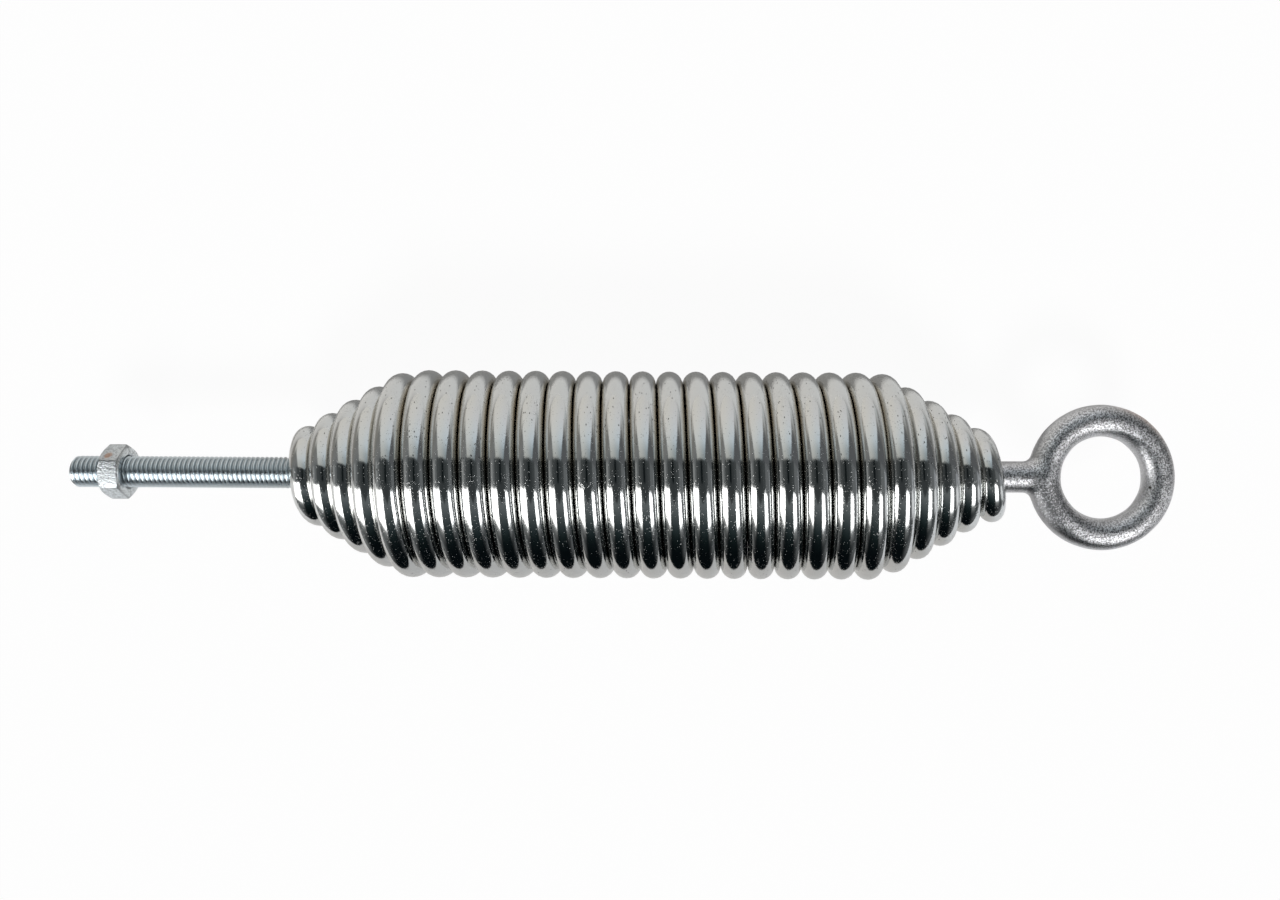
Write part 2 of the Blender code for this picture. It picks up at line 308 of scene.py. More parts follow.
class Term:
    """A socket of a node tree. Sums written on it add the Math nodes that work them out."""

    def __init__(self, nodes, socket):
        self.nodes = nodes
        self.socket = socket

    def also(self, name):
        """Another output of the same node."""
        return Term(self.nodes, self.socket.node.outputs[name])

    def math(self, operation, *values):
        return self.nodes.add("ShaderNodeMath", {"operation": operation}, values)

    def __add__(self, other):
        return self.math("ADD", self, other)

    def __radd__(self, other):
        return self.math("ADD", other, self)

    def __sub__(self, other):
        return self.math("SUBTRACT", self, other)

    def __rsub__(self, other):
        return self.math("SUBTRACT", other, self)

    def __mul__(self, other):
        return self.math("MULTIPLY", self, other)

    def __rmul__(self, other):
        return self.math("MULTIPLY", other, self)

    def __truediv__(self, other):
        return self.math("DIVIDE", self, other)

    def __rtruediv__(self, other):
        return self.math("DIVIDE", other, self)

    def __pow__(self, other):
        return self.math("POWER", self, other)

    def __abs__(self):
        return self.math("ABSOLUTE", self)

    def at_least(self, other):
        return self.math("MAXIMUM", self, other)

    def at_most(self, other):
        return self.math("MINIMUM", self, other)

    def rounded(self):
        return self.math("ROUND", self)

    def fraction(self):
        return self.math("FRACT", self)

    def sine(self):
        return self.math("SINE", self)

    def cosine(self):
        return self.math("COSINE", self)

    def above(self, edge, softness):
        """0 below an edge and 1 above it, with a soft change between."""
        return self.nodes.add(
            "ShaderNodeMapRange",
            {"interpolation_type": "SMOOTHSTEP"},
            {"Value": self, "From Min": edge - softness, "From Max": edge + softness},
        )

    def between(self, low, high, softness):
        return self.above(low, softness) * (1 - self.above(high, softness))


class Nodes:
    """A node tree that is being written."""

    def __init__(self, tree):
        self.tree = tree

    def add(self, kind, settings=None, values=(), output=0):
        """Adds a node. Its settings are set first, then its sockets get values or links."""
        node = self.tree.nodes.new(kind)
        for name, value in (settings or {}).items():
            if name == "stops":
                self.set_stops(node.color_ramp, value)
            else:
                setattr(node, name, value)
        pairs = values.items() if isinstance(values, dict) else enumerate(values)
        for key, value in pairs:
            self.feed(node.inputs[key], value)
        return Term(self, node.outputs[output])

    def feed(self, socket, value):
        if isinstance(value, Term):
            self.tree.links.new(value.socket, socket)
        else:
            socket.default_value = value

    def set_stops(self, ramp, stops):
        while len(ramp.elements) < len(stops):
            ramp.elements.new(1.0)
        for element, (place, colour) in zip(ramp.elements, stops):
            element.position = place
            element.color = (*colour, 1.0)

    def join(self, x, y, z):
        return self.add("ShaderNodeCombineXYZ", None, (x, y, z))

    def split(self, vector):
        parts = self.add("ShaderNodeSeparateXYZ", None, (vector,))
        return parts, parts.also("Y"), parts.also("Z")

    def noise(self, vector, scale, detail=2.0, roughness=0.5):
        return self.add(
            "ShaderNodeTexNoise",
            {"noise_dimensions": "3D"},
            {"Vector": vector, "Scale": scale, "Detail": detail, "Roughness": roughness},
        )

    def ramp(self, value, tones):
        """The colour at a value between steps of (value, colour)."""
        low, high = tones[0][0], tones[-1][0]
        stops = [((place - low) / (high - low), colour) for place, colour in tones]
        share = (value - low) * (1 / (high - low))
        return self.add("ShaderNodeValToRGB", {"stops": stops}, (share,))

    def mix(self, share, first, second):
        """Mixes two colours, each a Term or three numbers."""
        ends = [c if isinstance(c, Term) else (*c, 1.0) for c in (first, second)]
        return self.add(
            "ShaderNodeMix", {"data_type": "RGBA"}, {0: share, 6: ends[0], 7: ends[1]}, 2
        )


class FormTree(Nodes):
    """A Geometry Nodes tree with a named input for each value that it is given."""

    def __init__(self, name, values):
        super().__init__(bpy.data.node_groups.new(name, "GeometryNodeTree"))
        interface = self.tree.interface
        interface.new_socket("Geometry", in_out="OUTPUT", socket_type="NodeSocketGeometry")
        self.values = values
        self.identifiers = {
            label: interface.new_socket(
                label, in_out="INPUT", socket_type=SOCKET_TYPES[type(value)]
            ).identifier
            for label, value in values.items()
        }
        self.source = self.tree.nodes.new("NodeGroupInput")

    def __getitem__(self, label):
        return Term(self, self.source.outputs[label])

    def unit_sheet(self, rows, columns):
        """A grid of points, with the row and column of each."""
        size = {"Size X": 1.0, "Size Y": 1.0, "Vertices X": rows, "Vertices Y": columns}
        grid = self.add("GeometryNodeMeshGrid", None, size)
        x, y, _ = self.split(self.add("GeometryNodeInputPosition"))
        row = ((x + 0.5) * (rows - 1)).rounded()
        column = ((y + 0.5) * (columns - 1)).rounded()
        return grid, row, column

    def store(self, geometry, name, value, kind, domain):
        return self.add(
            "GeometryNodeStoreNamedAttribute",
            {"data_type": kind, "domain": domain},
            {"Geometry": geometry, "Name": name, "Value": value},
        )

    def rolled_up(self, geometry, place):
        """Moves the sheet's points to their places and welds its seam and its ends."""
        moved = self.add("GeometryNodeSetPosition", None, {0: geometry, "Position": place})
        return self.add("GeometryNodeMergeByDistance", None, {0: moved, "Distance": MERGE})

    def grow(self, name, geometry):
        """Ends the tree with this geometry and makes an object with its plain mesh."""
        real = self.add("GeometryNodeRealizeInstances", None, {"Geometry": geometry})
        painted = self.add(
            "GeometryNodeSetMaterial", None, {"Geometry": real, "Material": self["Material"]}
        )
        end = self.tree.nodes.new("NodeGroupOutput")
        self.tree.links.new(painted.socket, end.inputs["Geometry"])
        obj = new_object(name, bpy.data.meshes.new(name))
        modifier = obj.modifiers.new(name, "NODES")
        modifier.node_group = self.tree
        for label, value in self.values.items():
            modifier[self.identifiers[label]] = value
        return baked(obj)


def new_object(name, mesh):
    obj = bpy.data.objects.new(name, mesh)
    bpy.context.scene.collection.objects.link(obj)
    return obj


def finished_object(name, form):
    """An object with a bmesh's shape. The bmesh is freed."""
    mesh = bpy.data.meshes.new(name)
    form.to_mesh(mesh)
    form.free()
    return new_object(name, mesh)


def baked(obj):
    """Turns an object's evaluated shape into its plain mesh and removes its modifiers."""
    depsgraph = bpy.context.evaluated_depsgraph_get()
    mesh = bpy.data.meshes.new_from_object(
        obj.evaluated_get(depsgraph), preserve_all_data_layers=True, depsgraph=depsgraph
    )
    obj.modifiers.clear()
    obj.data = mesh
    mesh.name = obj.name
    return obj


def combined(obj, tool, operation):
    """The object with a tool cut from it, joined to it or crossed with it."""
    modifier = obj.modifiers.new(tool.name, "BOOLEAN")
    modifier.operation = operation
    modifier.solver = "EXACT"
    modifier.object = tool
    baked(obj)
    bpy.data.objects.remove(tool)
    return obj


def turn_faces_out(mesh, drop_slivers=False):
    form = bmesh.new()
    form.from_mesh(mesh)
    if drop_slivers:
        bmesh.ops.dissolve_degenerate(form, dist=MERGE, edges=form.edges)
    bmesh.ops.recalc_face_normals(form, faces=form.faces)
    form.to_mesh(mesh)
    form.free()


def shade(mesh, angle=SHARP_ANGLE):
    mesh.shade_smooth()
    mesh.set_sharp_from_angle(angle=angle)


def paint(obj, material):
    obj.data.materials.clear()
    obj.data.materials.append(material)


def place(obj, body, node, slot):
    """Puts a finished piece on its body in place of its node."""
    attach(obj, body)
    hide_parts(node)


def point_values(mesh, name):
    values = np.zeros(len(mesh.vertices), np.float32)
    mesh.attributes[name].data.foreach_get("value", values)
    return values.astype(float)


def positions(mesh):
    flat = np.zeros(len(mesh.vertices) * 3, np.float32)
    mesh.vertices.foreach_get("co", flat)
    return flat.reshape(-1, 3).astype(float)


def darker(colour, share):
    return tuple(channel * share for channel in colour)


def wire_values(sizes, material):
    """The values that wind the wire between the node's two ends."""
    wire = sizes.wire_diameter
    full_radius = (SPRING_HIGH.z - SPRING_LOW.z - wire) / 2
    step = (wire + sizes.taper_gap) * math.sin(sizes.taper_angle)
    taper_pitch = (wire + sizes.taper_gap) * math.cos(sizes.taper_angle)
    taper_turns = (full_radius - sizes.end_bore / 2 - wire / 2) / step
    straight = SPRING_HIGH.x - SPRING_LOW.x - wire - 2 * taper_turns * taper_pitch
    whole = math.floor(
        straight / (wire + sizes.coil_gap) + 2 * taper_turns - sizes.last_turn_share
    )
    turns = whole + sizes.last_turn_share
    return {
        "Turns": turns,
        "Taper Turns": taper_turns,
        "Taper Step": step,
        "Taper Pitch": taper_pitch,
        "Body Pitch": straight / (turns - 2 * taper_turns),
        "Full Radius": full_radius,
        "End Coil Turns": sizes.end_coil_turns,
        "Ease Turns": sizes.ease_turns,
        "Start Angle": sizes.start_angle,
        "Wire Radius": wire / 2,
        "First End": SPRING_LOW.x + wire / 2,
        "Axis Height": AXIS_HEIGHT,
        "End Gap": sizes.end_gap,
        "Unevenness": sizes.unevenness,
        "Chamfer": sizes.cut_chamfer,
        "Steps": sizes.steps_per_turn,
        "Sides": sizes.sides,
        "Material": material,
    }


def wind_wire(name, values):
    """The wound wire: a sheet rolled round its centre line and closed at its two cut ends."""
    t = FormTree("wound_wire", values)
    turns, ease, radius = t["Turns"], t["Ease Turns"], t["Wire Radius"]
    last = (turns * t["Steps"]).rounded() + 4
    sheet, row, column = t.unit_sheet(last + 1, t["Sides"] + 1)

    def ramp(value):
        eased = value.at_least(0 - ease).at_most(ease) + ease
        return eased * eased / (4 * ease) + (value - ease).at_least(0.0)

    def tapered(turns_in):
        past = turns_in - t["End Coil Turns"]
        return ramp(past) - ramp(past - t["Taper Turns"])

    cut = t["Chamfer"] / (2 * math.pi * t["Full Radius"]) * 2
    first_turn = cut * row.above(1.5, 0.1)
    last_turn = turns - cut * (last - row).above(1.5, 0.1)
    turn = ((row - 2) / t["Steps"]).at_least(first_turn).at_most(last_turn)
    cap = row.at_most(last - row)
    section = radius * (cap * (1 - t["Chamfer"] / radius)).at_most(1.0)

    here, beyond = tapered(turn), tapered(turns - turn)
    single = {"noise_dimensions": "1D"}
    waver = t.add("ShaderNodeTexNoise", single, {"W": turn * 0.93, "Scale": 1.0})
    drift = t.add("ShaderNodeTexNoise", single, {"W": turn + 50, "Scale": 0.7})
    coil = t["Full Radius"] - t["Taper Step"] * (2 * t["Taper Turns"] - here - beyond)
    coil = coil - t["Unevenness"] * waver
    body, drawn = t["Body Pitch"], t["Taper Pitch"]
    along = t["First End"] + body * turn + (drawn - body) * (here + t["Taper Turns"] - beyond)
    along = along + t["Unevenness"] * 0.5 * (drift - 0.5)
    first_off = (turn.above(0.2, 0.20) - 1) * FIRST_GAP_SHARE
    along = along + t["End Gap"] * (turn.above(turns - 0.15, 0.20) + first_off)

    angle = t["Start Angle"] + 2 * math.pi * turn
    lean = 2 * math.pi * column / t["Sides"] - math.pi / 2
    out = coil + section * lean.sine()
    spot = t.join(
        along + section * lean.cosine(),
        out * angle.cosine(),
        t["Axis Height"] + out * angle.sine(),
    )
    sheet = t.store(sheet, "turn", turn, "FLOAT", "POINT")
    chart = t.join(turn, column / t["Sides"], 0.0)
    sheet = t.store(sheet, "UVMap", chart, "FLOAT2", "CORNER")
    return t.grow(name, t.rolled_up(sheet, spot))


def wire_stations(mesh):
    """Each turn value along the wire with its coil radius, read off the wound mesh."""
    turn = point_values(mesh, "turn")
    stations, member = np.unique(turn, return_inverse=True)
    spots = positions(mesh)
    spots[:, 2] -= AXIS_HEIGHT
    count = np.bincount(member)
    centres = [np.bincount(member, spots[:, axis]) / count for axis in (1, 2)]
    return turn, stations, np.hypot(*centres)


def lay_out_wire(mesh, wire_diameter):
    """Turns the map's turns into metres along the wire, and its shares into metres round it."""
    _, stations, radii = wire_stations(mesh)
    steps = np.diff(stations) * 2 * math.pi * (radii[1:] + radii[:-1]) / 2
    lengths = np.concatenate([[0.0], np.cumsum(steps)])
    layer = mesh.uv_layers["UVMap"]
    flat = np.zeros(len(layer.uv) * 2, np.float32)
    layer.uv.foreach_get("vector", flat)
    pairs = flat.reshape(-1, 2)
    pairs[:, 0] = np.interp(pairs[:, 0], stations, lengths)
    pairs[:, 1] *= math.pi * wire_diameter
    layer.uv.foreach_set("vector", pairs.ravel())


def open_evenly(mesh, held_turns):
    """Writes how far each wire section follows the bolt. A coil opens as its radius cubed."""
    turn, stations, radii = wire_stations(mesh)
    grown = np.concatenate([[0.0], np.cumsum(np.diff(stations) * radii[1:] ** 3)])
    first, last = np.interp([held_turns, stations[-1] - held_turns], stations, grown)
    share = np.clip((np.interp(turn, stations, grown) - first) / (last - first), 0.0, 1.0)
    mesh.attributes["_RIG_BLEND"].data.foreach_set("value", (1 - share).astype(np.float32))


class SPRING_OT_wire(bpy.types.Operator):
    """Winds the coil spring from one wire"""

    bl_idname = "spring.wire"
    bl_label = "Coil spring"

    def execute(self, context):
        sizes = context.scene.spring_wire
        values = wire_values(sizes, bright_wire(context.scene.spring_colours, sizes))
        spring = wind_wire("spring_wire", values)
        turn_faces_out(spring.data)
        shade(spring.data)
        lay_out_wire(spring.data, sizes.wire_diameter)
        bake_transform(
            spring, "spring", "bolt",
            start=(SPRING_HIGH.x, 0.0, AXIS_HEIGHT), end=(SPRING_LOW.x, 0.0, AXIS_HEIGHT),
        )
        open_evenly(spring.data, sizes.held_turns)
        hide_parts("coil_spring")
        return {"FINISHED"}


def roll_thread(name, sizes, start, end, play, material):
    """A closed threaded rod, right-handed, with its flanks in step along the whole bolt."""
    lead = math.floor((start - BOLT_LOW.x) / sizes.pitch) - 1
    pitches = math.ceil((end - start) / sizes.pitch) + 4
    t = FormTree(name, {
        "Start": start,
        "End": end,
        "First Crest": BOLT_LOW.x + (lead - 1) * sizes.pitch,
        "Pitch": sizes.pitch,
        "Crest Radius": sizes.diameter / 2 + play,
        "Depth": sizes.thread_depth,
        "Tip Radius": sizes.tip_radius,
        "Axis Height": AXIS_HEIGHT,
        "Rows": pitches * THREAD_ROWS + 1,
        "Sides": sizes.sides,
        "Material": material,
    })
    sheet, row, column = t.unit_sheet(t["Rows"], t["Sides"] + 1)
    turned = column / t["Sides"]
    free = t["First Crest"] + (row / THREAD_ROWS + turned) * t["Pitch"]
    along = free.at_least(t["Start"]).at_most(t["End"])
    from_crest = abs((row / THREAD_ROWS).fraction() - 0.5)
    flank = ((from_crest - CREST_SHARE) * (1 / FLANK_SHARE)).at_least(0.0).at_most(1.0)
    radius = t["Crest Radius"] - t["Depth"] * flank * flank * (3 - 2 * flank)
    from_end = (along - t["Start"]).at_most(t["End"] - along)
    radius = radius.at_most(t["Tip Radius"] + from_end)
    radius = radius * row.at_most(t["Rows"] - 1 - row).at_most(1.0)
    angle = 2 * math.pi * turned
    spot = t.join(along, radius * angle.cosine(), t["Axis Height"] + radius * angle.sine())
    rod = t.grow(name, t.rolled_up(sheet, spot))
    turn_faces_out(rod.data, drop_slivers=True)
    return rod


def ringed_solid(name, profile, angles):
    """A closed solid with corners at these angles at each (x, radius) step of its profile."""
    form = bmesh.new()
    rings = [
        [form.verts.new((x, r * math.cos(a), AXIS_HEIGHT + r * math.sin(a))) for a in angles]
        for x, r in profile
    ]
    for near, far in zip(rings, rings[1:]):
        for j in range(len(near)):
            k = (j + 1) % len(near)
            form.faces.new((near[j], near[k], far[k], far[j]))
    form.faces.new(rings[0])
    form.faces.new(rings[-1])
    bmesh.ops.recalc_face_normals(form, faces=form.faces)
    return finished_object(name, form)


def turned_solid(name, profile, sides=96):
    return ringed_solid(name, profile, [2 * math.pi * j / sides for j in range(sides)])


def hexagon_solid(name, across_flats, start, end, chamfers, turn=0.0):
    """A hexagon along the axis with flats up and down, its corners taken off at 30 degrees."""
    corner = across_flats / 2 / math.cos(HEX_SIDE_ANGLE / 2)
    slope = math.tan(HEX_SIDE_ANGLE / 2)
    angles = [turn + HEX_SIDE_ANGLE * j for j in range(6)]
    solid = ringed_solid(name, [(start, corner), (end, corner)], angles)
    over = max(chamfers)
    profile = []
    for x, chamfer, way in ((start, chamfers[0], 1), (end, chamfers[1], -1)):
        if chamfer:
            deep = chamfer + over * slope
            steps = [(x, corner - chamfer / slope), (x + way * deep, corner + over)]
        else:
            steps = [(x - way * over, corner + over)]
        profile += steps[::way]
    return combined(solid, turned_solid(name + "_blank", profile), "INTERSECT")


class SPRING_OT_bolt(bpy.types.Operator):
    """Rolls the threaded bolt and sets its head inside the taper"""

    bl_idname = "spring.bolt"
    bl_label = "Threaded bolt"

    def execute(self, context):
        sizes = context.scene.spring_bolt
        material = blue_zinc(context.scene.spring_colours, sizes)
        under_head = BOLT_HIGH.x - sizes.head_height
        bolt = roll_thread(
            "threaded_bolt_rolled", sizes, BOLT_LOW.x, BOLT_HIGH.x - sizes.chamfer, 0.0, material
        )
        head = hexagon_solid(
            "bolt_head", sizes.across_flats, under_head, BOLT_HIGH.x, (0.0, sizes.chamfer)
        )
        combined(bolt, head, "UNION")
        paint(bolt, material)
        shade(bolt.data, BOLT_SHARP_ANGLE)
        place(bolt, "bolt", "threaded_bolt", "bolt_zinc")
        return {"FINISHED"}


class SPRING_OT_nut(bpy.types.Operator):
    """Makes the hexagon nut with its thread cut to run on the bolt"""

    bl_idname = "spring.nut"
    bl_label = "Hexagon nut"

    def execute(self, context):
        sizes = context.scene.spring_nut
        thread = context.scene.spring_bolt
        material = pitted_zinc(context.scene.spring_colours, sizes)
        nut = hexagon_solid(
            "hex_nut_tapped", sizes.across_flats, NUT_LOW.x, NUT_HIGH.x,
            (sizes.chamfer, sizes.chamfer), sizes.turn,
        )
        bevel = nut.modifiers.new("worn_edges", "BEVEL")
        bevel.width = sizes.edge_round
        bevel.segments = 3
        bevel.limit_method = "ANGLE"
        bevel.angle_limit = WORN_EDGE_ANGLE
        baked(nut)
        over = 2 * sizes.countersink
        mouth = thread.diameter / 2 + sizes.countersink
        deep = mouth - thread.diameter / 2 + thread.thread_depth + over
        sinks = turned_solid("nut_sinks", [
            (NUT_LOW.x - over, mouth + over),
            (NUT_LOW.x + deep, mouth - deep),
            (NUT_HIGH.x - deep, mouth - deep),
            (NUT_HIGH.x + over, mouth + over),
        ])
        tap = roll_thread(
            "nut_tap", thread, NUT_LOW.x - over, NUT_HIGH.x + over, sizes.thread_play, material
        )
        combined(nut, sinks, "DIFFERENCE")
        combined(nut, tap, "DIFFERENCE")
        paint(nut, material)
        shade(nut.data)
        place(nut, "nut", "hex_nut", "nut_zinc")
        return {"FINISHED"}


class EyeForm:
    """The forging as a distance field: below zero inside the metal."""

    def __init__(self, sizes):
        self.sizes = sizes
        self.ring_radius = (sizes.hole + sizes.section) / 2
        self.centre = EYE_HIGH.x - self.ring_radius - sizes.section / 2
        self.cone = EYE_LOW.x + sizes.rim_length + sizes.cone_length

    def distance(self, spots):
        s = self.sizes
        x, y, z = spots[:, 0], spots[:, 1], spots[:, 2] - AXIS_HEIGHT
        ring = np.hypot(np.hypot(x - self.centre, y) - self.ring_radius, z) - s.section / 2
        rim, shank = s.head_diameter / 2, s.shank / 2
        soft = s.rim_length / 3
        radius = np.interp(
            x,
            [EYE_LOW.x, EYE_LOW.x + soft, self.cone - s.cone_length, self.cone],
            [rim - soft, rim, rim, shank],
        )
        rod = np.maximum(np.hypot(y, z) - radius, x - self.centre + self.ring_radius)
        share = np.clip(0.5 + (rod - ring) / (2 * s.fillet), 0.0, 1.0)
        joined = rod + (ring - rod) * share - s.fillet * share * (1 - share)
        joined = np.maximum(joined, EYE_LOW.x - x)
        waves = np.sin(410 * x + 130 * y) * np.sin(560 * y - 90 * x) * np.cos(480 * z + 200 * x)
        return joined + s.unevenness * (0.5 + 0.5 * waves)

    def settle(self, mesh, rounds=6):
        """Moves a rough mesh's points onto the surface."""
        spots = positions(mesh)
        far = self.sizes.grid
        ways = far / 20 * np.eye(3)
        for _ in range(rounds):
            here = self.distance(spots)
            rises = [self.distance(spots + way) - self.distance(spots - way) for way in ways]
            slope = np.stack(rises, axis=1) / (far / 10)
            steep = np.maximum((slope**2).sum(1), 0.2)
            spots -= np.clip(here / steep, -far, far)[:, None] * slope
        mesh.vertices.foreach_set("co", spots.astype(np.float32).ravel())
        mesh.update()


class SPRING_OT_eye(bpy.types.Operator):
    """Forges the eye and its shank in one"""

    bl_idname = "spring.eye"
    bl_label = "Forged eye"

    def execute(self, context):
        sizes = context.scene.spring_eye
        form = bmesh.new()
        form.from_mesh(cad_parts["eye_bolt"].data)
        bmesh.ops.remove_doubles(form, verts=form.verts, dist=MERGE)
        eye = finished_object("forged_eye", form)
        remesh = eye.modifiers.new("forging", "REMESH")
        remesh.mode = "VOXEL"
        remesh.voxel_size = sizes.grid
        baked(eye)
        EyeForm(sizes).settle(eye.data)
        turn_faces_out(eye.data)
        paint(eye, forged_zinc(context.scene.spring_colours, EyeForm(sizes)))
        eye.data.shade_smooth()
        place(eye, "eye", "eye_bolt", "forged_zinc")
        return {"FINISHED"}


class Metal(Nodes):
    """A metal's material: a Principled BSDF whose varying sockets are fed by nodes."""

    def __init__(self, name):
        self.material = bpy.data.materials.new(name)
        self.material.use_nodes = True
        super().__init__(self.material.node_tree)
        self.shader = self.tree.nodes["Principled BSDF"]
        self.shader.inputs["Metallic"].default_value = 1.0

    def spots(self):
        """Object coordinates in metres."""
        return self.add("ShaderNodeTexCoord", None, (), "Object")

    def vector_math(self, operation, *values, output=0):
        return self.add("ShaderNodeVectorMath", {"operation": operation}, values, output)

    def stretched(self, vector, scale):
        return self.vector_math("MULTIPLY", vector, scale)

    def dots(self, vector, radius, kept):
        """Round dots, one in each cell whose chance is above the kept value."""
        cell = self.add("ShaderNodeTexVoronoi", None, {"Vector": vector, "Scale": 1.0})
        chance, _, _ = self.split(cell.also("Color"))
        dot = 1 - cell.above(radius, radius / 3)
        return dot * chance.math("GREATER_THAN", chance, kept)

    def bump(self, height, depth, under=None):
        """Raises the surface by this many metres where the height is 1."""
        values = {"Strength": 1.0, "Distance": depth, "Height": height}
        if under:
            values["Normal"] = under
        return self.add("ShaderNodeBump", None, values)

    def near(self, spots, centre, reach, softness):
        """1 round a point, within a reach along each axis, and 0 away from it."""
        away = self.vector_math("SUBTRACT", spots, centre)
        shares = self.stretched(away, tuple(1 / r for r in reach))
        length = self.vector_math("LENGTH", shares, output="Value")
        return 1 - length.above(1.0, softness)

    def finish(self, colour, roughness, normal):
        self.feed(self.shader.inputs["Base Color"], colour)
        self.feed(self.shader.inputs["Roughness"], roughness)
        self.feed(self.shader.inputs["Normal"], normal)
        return self.material


def bright_wire(colours, sizes):
    """Bright zinc over drawn wire: fine grain, draw lines, pits, scratches, a painted shade of
    straw-brown on the flanks between coils and a painted reflection tone across each wire.
    """
    m = Metal("bright_wire")
    spots = m.spots()
    chart = m.add("ShaderNodeUVMap", {"uv_map": "UVMap"})
    _, around, _ = m.split(chart)
    lean = around * (2 / sizes.wire_diameter)
    _, depth, _ = m.split(spots)
    # Painted shade: a darker straw-brown tint on the flanks where the coils meet, stronger on the back half
    # of the spring, varied by a noise that also varies the roughness.
    flank = abs(lean.sine() + 0.04).above(0.84, 0.16)
    flank = flank * (0.15 + 0.85 * depth.above(0.002, 0.009))
    tarnish_and_shade = m.noise(spots, 55.0, 3.0)
    painted_flank_shade = flank * (0.35 + 0.65 * tarnish_and_shade)
    grain = m.noise(m.stretched(chart, (1500.0, 3600.0, 1.0)), 1.0, 3.0, 0.65)
    lines = m.noise(m.stretched(chart, (60.0, 5200.0, 1.0)), 1.0, 2.0)
    patches = m.noise(spots, 60.0, 2.0).above(0.52, 0.10)
    for centre, reach in (WIRE_SHOULDER, WIRE_RUBBED):
        patches = patches.at_least(m.near(spots, centre, reach, 0.5))
    specks = m.dots(m.stretched(chart, (1150.0, 1500.0, 1.0)), 0.24, 0.70 - 0.40 * patches)
    pits = m.dots(m.stretched(chart, (480.0, 900.0, 1.0)), 0.17, 1.0 - 0.45 * patches)
    wander = m.noise(m.stretched(chart, (330.0, 420.0, 1.0)), 1.0, 3.0)
    scratches = 1 - abs(wander - 0.5).above(0.005, 0.004)
    scratches = scratches * m.noise(spots, 95.0).above(0.69, 0.03)
    # Painted reflection: each wire section is warmer towards its left side and cooler towards its right.
    painted_side_reflection = m.mix(0.5 + 0.5 * lean.sine(), colours.wire_left_reflection, colours.wire)
    colour = m.mix(painted_flank_shade, painted_side_reflection, colours.wire_flank_shade)
    colour = m.mix((pits * 0.85).at_least(specks * 0.15), colour, colours.pit)
    roughness = (0.07 + 0.05 * tarnish_and_shade).at_least(0.50 * specks).at_least(0.30 * pits)
    normal = m.bump(grain, 0.000009)
    normal = m.bump(lines, 0.000004, normal)
    normal = m.bump(1 - pits.at_least(scratches * 0.5), 0.00003, normal)
    return m.finish(colour, roughness, normal)


def blue_zinc(colours, sizes):
    """Blue zinc on a rolled thread, with painted shade darkening the roots."""
    m = Metal("blue_zinc")
    spots = m.spots()
    _, y, z = m.split(spots)
    height = z - AXIS_HEIGHT
    radius = (y * y + height * height) ** 0.5
    depth = sizes.thread_depth
    crest = radius.above(sizes.diameter / 2 - depth * 0.55, depth * 0.35)
    wear_and_shade = m.noise(spots, 420.0, 3.0)
    grain = m.noise(spots, 3600.0, 2.0)
    # Painted shade: down in the thread's roots the colour falls to 0.62 of the zinc; a noise varies it on
    # the crests and also varies the roughness.
    colour = m.mix(crest * (0.8 + 0.2 * wear_and_shade), darker(colours.bolt, 0.62), colours.bolt)
    return m.finish(colour, 0.18 + 0.12 * wear_and_shade, m.bump(grain, 0.00003))


def pitted_zinc(colours, sizes):
    """Plated nut: finely pitted flats and one rust stain on the flat behind the top one.
    Painted shade: dark lines along its six corners and just short of its end face on the +X side.
    """
    m = Metal("pitted_zinc")
    spots = m.spots()
    cloud = m.noise(spots, 520.0, 4.0)
    grain = m.noise(spots, 2300.0, 3.0, 0.7)
    dents = m.noise(spots, 1500.0, 2.0).above(0.54, 0.05)
    colour = m.mix(cloud * 0.5, colours.nut, darker(colours.nut, 0.72))
    colour = m.mix(dents * 0.65, colour, darker(colours.nut, 0.38))
    ragged = m.vector_math("ADD", spots, m.join(0.0012 * cloud, 0.0, 0.0))
    stain = m.near(ragged, *NUT_STAIN, 0.35)
    colour = m.mix(stain * (0.35 + 0.45 * cloud), colour, colours.rust)
    x, y, z = m.split(spots)
    around = y.math("ARCTAN2", z - AXIS_HEIGHT, y)
    sixth = ((around - sizes.turn) / HEX_SIDE_ANGLE + 12).fraction()
    # Painted shade: dark lines along the six corners and in a band just short of the end face.
    corner = abs(sixth - 0.5).above(0.470, 0.012)
    painted_lip_shade = x.between(NUT_HIGH.x - 0.0009, NUT_HIGH.x - 0.0003, 0.0002)
    colour = m.mix(corner.at_least(painted_lip_shade) * 0.6, colour, darker(colours.nut, 0.25))
    normal = m.bump(grain, 0.000024)
    normal = m.bump(1 - dents, 0.00003, normal)
    return m.finish(colour, 0.22 + 0.08 * cloud + 0.25 * stain, normal)


